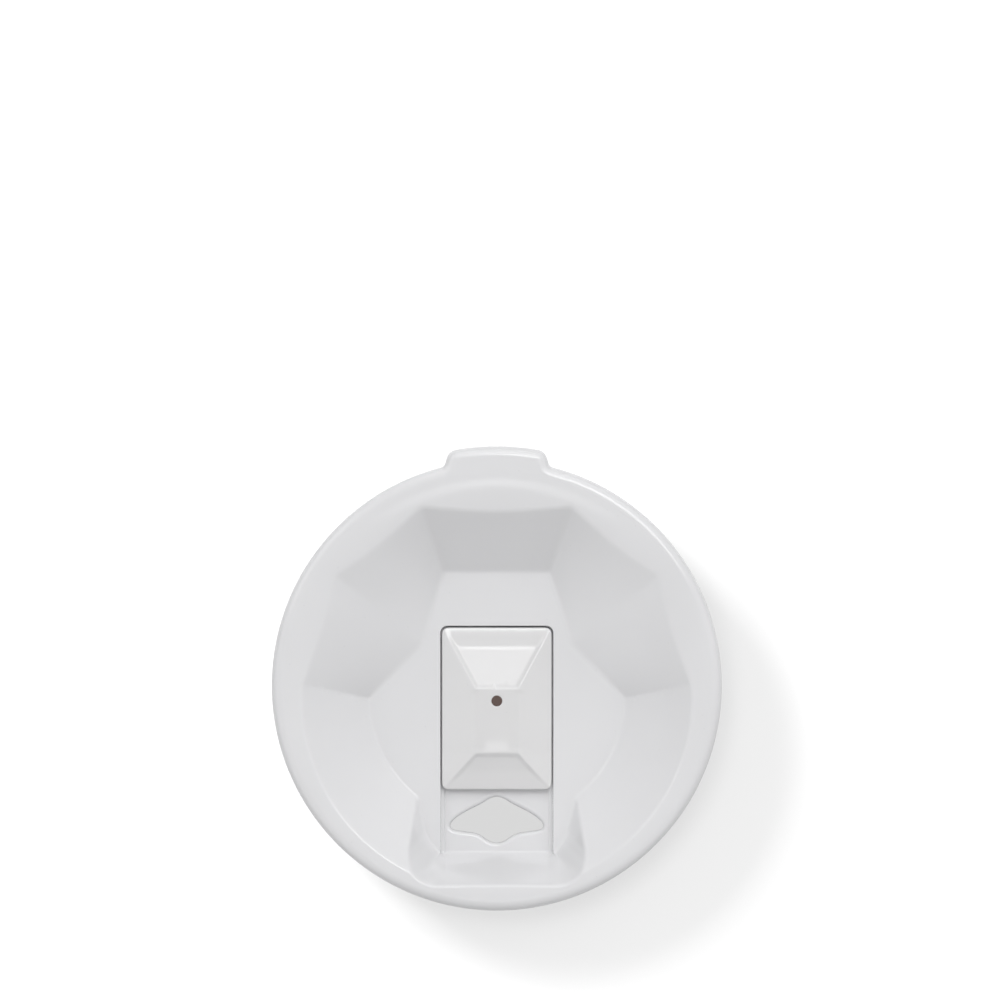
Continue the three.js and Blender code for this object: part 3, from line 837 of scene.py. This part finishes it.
def moulded_finish(name, colour, roughness, speck, grain_depth):
    """Moulded plastic or rubber: faint clouding of the colour, uneven gloss, fine grain and a few specks."""
    material = bpy.data.materials.new(name)
    material.use_nodes = True
    tree = material.node_tree
    shader = tree.nodes["Principled BSDF"]
    shader.inputs["IOR"].default_value = 1.5
    place = node(tree, "ShaderNodeTexCoord")

    cloud = node(tree, "ShaderNodeTexNoise", Scale=38.0, Detail=3.0, Roughness=0.5)
    link(tree, place.outputs["Object"], cloud.inputs["Vector"])
    tint = node(tree, "ShaderNodeValToRGB")
    tint.color_ramp.elements[0].position = 0.35
    tint.color_ramp.elements[0].color = (*[c * 0.985 for c in colour], 1)
    tint.color_ramp.elements[1].position = 0.65
    tint.color_ramp.elements[1].color = (*[min(c * 1.01, 1) for c in colour], 1)
    link(tree, cloud.outputs["Fac"], tint.inputs["Fac"])

    dust = node(tree, "ShaderNodeTexVoronoi", Scale=330.0, Randomness=1.0)
    link(tree, place.outputs["Object"], dust.inputs["Vector"])
    dots = node(tree, "ShaderNodeMapRange")
    dots.inputs["From Min"].default_value = 0.0
    dots.inputs["From Max"].default_value = 0.07
    dots.inputs["To Min"].default_value = speck
    dots.inputs["To Max"].default_value = 0.0
    link(tree, dust.outputs["Distance"], dots.inputs["Value"])
    specked = node(tree, "ShaderNodeMix", data_type="RGBA")
    specked.inputs["B"].default_value = (*[c * 0.7 for c in colour], 1)
    link(tree, dots.outputs["Result"], specked.inputs["Factor"])
    link(tree, tint.outputs["Color"], specked.inputs["A"])
    link(tree, specked.outputs["Result"], shader.inputs["Base Color"])

    haze = node(tree, "ShaderNodeTexNoise", Scale=160.0, Detail=4.0, Roughness=0.6)
    link(tree, place.outputs["Object"], haze.inputs["Vector"])
    gloss = node(tree, "ShaderNodeMapRange")
    gloss.inputs["To Min"].default_value = roughness * 0.8
    gloss.inputs["To Max"].default_value = roughness * 1.25
    link(tree, haze.outputs["Fac"], gloss.inputs["Value"])
    link(tree, gloss.outputs["Result"], shader.inputs["Roughness"])

    grain = node(tree, "ShaderNodeTexNoise", Scale=1500.0, Detail=2.0, Roughness=0.5)
    link(tree, place.outputs["Object"], grain.inputs["Vector"])
    bump = node(tree, "ShaderNodeBump", Strength=0.35, Distance=grain_depth)
    link(tree, grain.outputs["Fac"], bump.inputs["Height"])
    link(tree, bump.outputs["Normal"], shader.inputs["Normal"])
    return material


def dress(piece, body, replaced, material):
    """Gives a piece its finish and its place in the frame."""
    piece.data.materials.append(material)
    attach(piece, body)
    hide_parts(replaced)


# Stage


def seen_rays(tree, *kinds):
    """Which rays belong to the kinds named, as one output."""
    path = node(tree, "ShaderNodeLightPath")
    found = path.outputs[kinds[0]]
    for kind in kinds[1:]:
        either = node(tree, "ShaderNodeMath", operation="MAXIMUM")
        link(tree, found, either.inputs[0])
        link(tree, path.outputs[kind], either.inputs[1])
        found = either.outputs[0]
    return found


def floor_finish(settings):
    """Pale floor that is seen as white, with the lid's shadow kept."""
    material = bpy.data.materials.new("pale_floor")
    material.use_nodes = True
    tree = material.node_tree
    tree.nodes.clear()
    out = node(tree, "ShaderNodeOutputMaterial")
    plain = node(tree, "ShaderNodeBsdfDiffuse", Color=(0.12, 0.12, 0.12, 1))
    seen = node(tree, "ShaderNodeBsdfDiffuse", Color=(*[settings.floor_shade] * 3, 1))
    glow = node(tree, "ShaderNodeEmission", Strength=settings.floor_glow)
    both = node(tree, "ShaderNodeAddShader")
    link(tree, seen.outputs[0], both.inputs[0])
    link(tree, glow.outputs[0], both.inputs[1])
    mix = node(tree, "ShaderNodeMixShader")
    link(tree, seen_rays(tree, "Is Camera Ray", "Is Glossy Ray", "Is Transmission Ray"), mix.inputs[0])
    link(tree, plain.outputs[0], mix.inputs[1])
    link(tree, both.outputs[0], mix.inputs[2])
    link(tree, mix.outputs[0], out.inputs["Surface"])
    return material


def painted_glow_and_shade_finish():
    """A glowing disc for what the lid's holes show below it: painted light, pale under the drinking hole, and
    painted shade, dark under the vent.
    """
    material = bpy.data.materials.new("painted_glow_and_shade_under_lid")
    material.use_nodes = True
    tree = material.node_tree
    tree.nodes.clear()
    out = node(tree, "ShaderNodeOutputMaterial")
    place = node(tree, "ShaderNodeTexCoord")
    split = node(tree, "ShaderNodeSeparateXYZ")
    link(tree, place.outputs["Object"], split.inputs[0])
    behind = node(tree, "ShaderNodeMath", operation="GREATER_THAN")
    behind.inputs[1].default_value = PAINTED_GLOW_FRONT_OF * MM
    link(tree, split.outputs["Y"], behind.inputs[0])
    # Pale painted light in front, dark brown painted shade behind
    painted_tone = node(tree, "ShaderNodeMix", data_type="RGBA")
    painted_tone.inputs["A"].default_value = (0.69, 0.69, 0.69, 1)
    painted_tone.inputs["B"].default_value = (0.13, 0.095, 0.085, 1)
    link(tree, behind.outputs[0], painted_tone.inputs["Factor"])
    # The disc glows though it is no lamp: full strength to the camera, faint to other rays, so it also lights
    # the lid's underside
    glow = node(tree, "ShaderNodeEmission")
    link(tree, painted_tone.outputs["Result"], glow.inputs["Color"])
    plain = node(tree, "ShaderNodeEmission", Strength=0.35)
    mix = node(tree, "ShaderNodeMixShader")
    link(tree, seen_rays(tree, "Is Camera Ray", "Is Transmission Ray"), mix.inputs[0])
    link(tree, painted_tone.outputs["Result"], plain.inputs["Color"])
    link(tree, plain.outputs[0], mix.inputs[1])
    link(tree, glow.outputs[0], mix.inputs[2])
    link(tree, mix.outputs[0], out.inputs["Surface"])
    return material


def heading(azimuth, elevation):
    """Direction from its azimuth, counted from the right, and its elevation."""
    a, e = math.radians(azimuth), math.radians(elevation)
    return math.cos(e) * math.cos(a), math.cos(e) * math.sin(a), math.sin(e)


def sky_light(tree, place, azimuth, elevation, strength, focus=0, edge=(0, 0)):
    """Light from one side of the room: a broad glow with a focus, or a softbox between two angles."""
    towards = node(tree, "ShaderNodeVectorMath", operation="DOT_PRODUCT")
    towards.inputs[1].default_value = heading(azimuth, elevation)
    link(tree, place, towards.inputs[0])
    if focus:
        ahead = node(tree, "ShaderNodeMath", operation="MAXIMUM")
        ahead.inputs[1].default_value = 0
        link(tree, towards.outputs["Value"], ahead.inputs[0])
        shape = node(tree, "ShaderNodeMath", operation="POWER")
        shape.inputs[1].default_value = focus
        link(tree, ahead.outputs[0], shape.inputs[0])
    else:
        shape = node(tree, "ShaderNodeMapRange", interpolation_type="SMOOTHSTEP")
        shape.inputs["From Min"].default_value = math.cos(math.radians(edge[1]))
        shape.inputs["From Max"].default_value = math.cos(math.radians(edge[0]))
        link(tree, towards.outputs["Value"], shape.inputs["Value"])
    scaled = node(tree, "ShaderNodeMath", operation="MULTIPLY")
    scaled.inputs[1].default_value = strength
    link(tree, shape.outputs[0], scaled.inputs[0])
    return scaled.outputs[0]


def studio_world(settings):
    """A soft room: white to the camera, and for light a dome that is brightest at the back."""
    world = bpy.data.worlds.new("studio")
    bpy.context.scene.world = world
    world.use_nodes = True
    tree = world.node_tree
    tree.nodes.clear()
    out = node(tree, "ShaderNodeOutputWorld")
    place = node(tree, "ShaderNodeTexCoord").outputs["Generated"]
    lights = []
    for azimuth, elevation, strength, focus in ROOM_GLOWS:
        lights.append(sky_light(tree, place, azimuth, elevation, strength, focus=focus))
    for azimuth, elevation, strength, edge in ROOM_SOFTBOXES:
        lights.append(sky_light(tree, place, azimuth, elevation, strength, edge=edge))
    total = node(tree, "ShaderNodeValue")
    total.outputs[0].default_value = settings.dome
    total = total.outputs[0]
    for light in lights:
        summed = node(tree, "ShaderNodeMath", operation="ADD")
        link(tree, total, summed.inputs[0])
        link(tree, light, summed.inputs[1])
        total = summed.outputs[0]
    dome = node(tree, "ShaderNodeBackground")
    link(tree, total, dome.inputs["Strength"])
    dome.inputs["Color"].default_value = (1, 1, 1, 1)
    white = node(tree, "ShaderNodeBackground", Strength=1.0)
    white.inputs["Color"].default_value = (1, 1, 1, 1)
    mix = node(tree, "ShaderNodeMixShader")
    link(tree, seen_rays(tree, "Is Camera Ray", "Is Transmission Ray"), mix.inputs[0])
    link(tree, dome.outputs[0], mix.inputs[1])
    link(tree, white.outputs[0], mix.inputs[2])
    link(tree, mix.outputs[0], out.inputs[0])


def floor_lamp(name, azimuth, elevation, size, power, lit):
    """A soft lamp that lights only the floor, where the lid keeps its light away as a shadow."""
    data = bpy.data.lights.new(name, "AREA")
    data.size = size
    data.energy = power
    lamp = bpy.data.objects.new(name, data)
    direction = Vector(heading(azimuth, elevation))
    lamp.location = Vector((0, RIM_CENTRE_Y * MM, 0.01)) + direction
    lamp.rotation_euler = direction.to_track_quat("Z", "Y").to_euler()
    bpy.context.scene.collection.objects.link(lamp)
    lamp.light_linking.receiver_collection = lit


def photo_camera():
    """Camera straight above, with the image's top towards the lid's back."""
    pixel = 2 * RIM_RADIUS * MM / RIM_PIXELS
    data = bpy.data.cameras.new("photo_camera")
    data.sensor_width = 36
    data.lens = data.sensor_width * CAMERA_HEIGHT / (PHOTO_PIXELS * pixel)
    data.clip_end = 20
    camera = bpy.data.objects.new("photo_camera", data)
    right = (PHOTO_PIXELS / 2 - RIM_PIXEL_X) * pixel
    up = (RIM_PIXEL_Y - PHOTO_PIXELS / 2) * pixel
    camera.location = (right, RIM_CENTRE_Y * MM + up, LID_HEIGHT * MM + CAMERA_HEIGHT)
    bpy.context.scene.collection.objects.link(camera)
    bpy.context.scene.camera = camera


# Add-on classes


class MugLidSettings(bpy.types.PropertyGroup):
    """Edges, finishes and light of the lid."""

    rim_edge: bpy.props.FloatProperty(
        name="Rim edge", description="Width of the rim's rounded outer edge", default=2.2 * MM, unit="LENGTH")
    facet_softness: bpy.props.FloatProperty(
        name="Facet softness", description="Reach of the soft facet edges", default=0.65 * MM, unit="LENGTH")
    edge_softness: bpy.props.FloatProperty(
        name="Edge softness", description="Reach of the edges round the mouth",
        default=0.45 * MM, unit="LENGTH")
    hole_edge: bpy.props.FloatProperty(
        name="Hole edge", description="Radius of the drinking hole's edge", default=0.9 * MM, unit="LENGTH")
    gate_edge: bpy.props.FloatProperty(
        name="Gate edge", description="Radius of the gate's top edge", default=0.3 * MM, unit="LENGTH")
    shell_colour: bpy.props.FloatVectorProperty(
        name="Lid colour", description="Colour of the lid's plastic",
        default=(0.79, 0.79, 0.802), subtype="COLOR")
    gate_colour: bpy.props.FloatVectorProperty(
        name="Gate colour", description="Colour of the gate's plastic",
        default=(0.76, 0.757, 0.761), subtype="COLOR")
    ring_colour: bpy.props.FloatVectorProperty(
        name="Ring colour", description="Colour of the sealing ring",
        default=(0.72, 0.73, 0.74), subtype="COLOR")
    dome: bpy.props.FloatProperty(
        name="Dome", description="Strength of the room's even light", default=0.287, min=0)
    floor_glow: bpy.props.FloatProperty(
        name="Floor glow", description="The floor's white that no shadow takes away", default=0.665, min=0)
    floor_shade: bpy.props.FloatProperty(
        name="Floor shade", description="The floor's white that shadows take away", default=0.15, min=0)


class MUGLID_OT_shell(bpy.types.Operator):
    """Makes the lid's moulding."""

    bl_idname = "muglid.shell"
    bl_label = "Make Lid Moulding"

    def execute(self, context):
        settings = context.scene.mug_lid
        finish = moulded_finish("lid_plastic", settings.shell_colour, 0.1, 0.25, 0.000004)
        dress(build_lid_shell(), "lid", "lid_shell", finish)
        return {"FINISHED"}


class MUGLID_OT_gate(bpy.types.Operator):
    """Makes the sliding gate and the keeper plate below it."""

    bl_idname = "muglid.gate"
    bl_label = "Make Gate and Keeper"

    def execute(self, context):
        settings = context.scene.mug_lid
        finish = moulded_finish("gate_plastic", settings.gate_colour, 0.09, 0.2, 0.000004)
        dress(build_gate(), "gate", "slider", finish)
        dress(build_keeper(), "gate", "slider_keeper", finish)
        return {"FINISHED"}


class MUGLID_OT_ring(bpy.types.Operator):
    """Makes the sealing ring."""

    bl_idname = "muglid.ring"
    bl_label = "Make Sealing Ring"

    def execute(self, context):
        settings = context.scene.mug_lid
        finish = moulded_finish("ring_silicone", settings.ring_colour, 0.5, 0.1, 0.00002)
        dress(build_sealing_ring(), "lid", "sealing_ring", finish)
        return {"FINISHED"}


class MUGLID_OT_stage(bpy.types.Operator):
    """Makes the floor, the light and the camera."""

    bl_idname = "muglid.stage"
    bl_label = "Make Stage"

    def execute(self, context):
        settings = context.scene.mug_lid
        bpy.ops.mesh.primitive_plane_add(size=6, location=(0, 0, 0))
        floor = context.active_object
        floor.name = "floor"
        floor.data.materials.append(floor_finish(settings))
        # A glowing disc on the floor under the lid: painted light below the drinking hole and painted shade
        # below the vent
        bpy.ops.mesh.primitive_circle_add(
            vertices=96, radius=(PLUG_INSIDE - 0.3) * MM, fill_type="NGON",
            location=(0, RIM_CENTRE_Y * MM, 0.05 * MM))
        under = context.active_object
        under.name = "painted_glow_and_shade_under_lid"
        under.data.materials.append(painted_glow_and_shade_finish())
        studio_world(settings)
        lit = bpy.data.collections.new("lit_by_floor_lamps")
        lit.objects.link(floor)
        floor_lamp("contact_lamp", 135, 82, 0.25, 6, lit)
        floor_lamp("tongue_lamp", 137, 37, 0.36, 33, lit)
        photo_camera()
        context.scene.view_settings.view_transform = "Standard"
        return {"FINISHED"}


class MUGLID_PT_panel(bpy.types.Panel):
    """Lists the steps that dress the lid."""

    bl_label = "Mug Lid"
    bl_idname = "MUGLID_PT_panel"
    bl_space_type = "VIEW_3D"
    bl_region_type = "UI"
    bl_category = "Mug Lid"

    def draw(self, context):
        for name in MugLidSettings.__annotations__:
            self.layout.prop(context.scene.mug_lid, name)
        for step in STEPS:
            self.layout.operator(step.bl_idname)


STEPS = (MUGLID_OT_shell, MUGLID_OT_gate, MUGLID_OT_ring, MUGLID_OT_stage)
CLASSES = (MugLidSettings, *STEPS, MUGLID_PT_panel)


def register():
    for made in CLASSES:
        bpy.utils.register_class(made)
    bpy.types.Scene.mug_lid = bpy.props.PointerProperty(type=MugLidSettings)


def unregister():
    del bpy.types.Scene.mug_lid
    for made in reversed(CLASSES):
        bpy.utils.unregister_class(made)


def main():
    register()
    bpy.ops.muglid.shell()
    bpy.ops.muglid.gate()
    bpy.ops.muglid.ring()
    bpy.ops.muglid.stage()


if __name__ == "__main__":
    main()
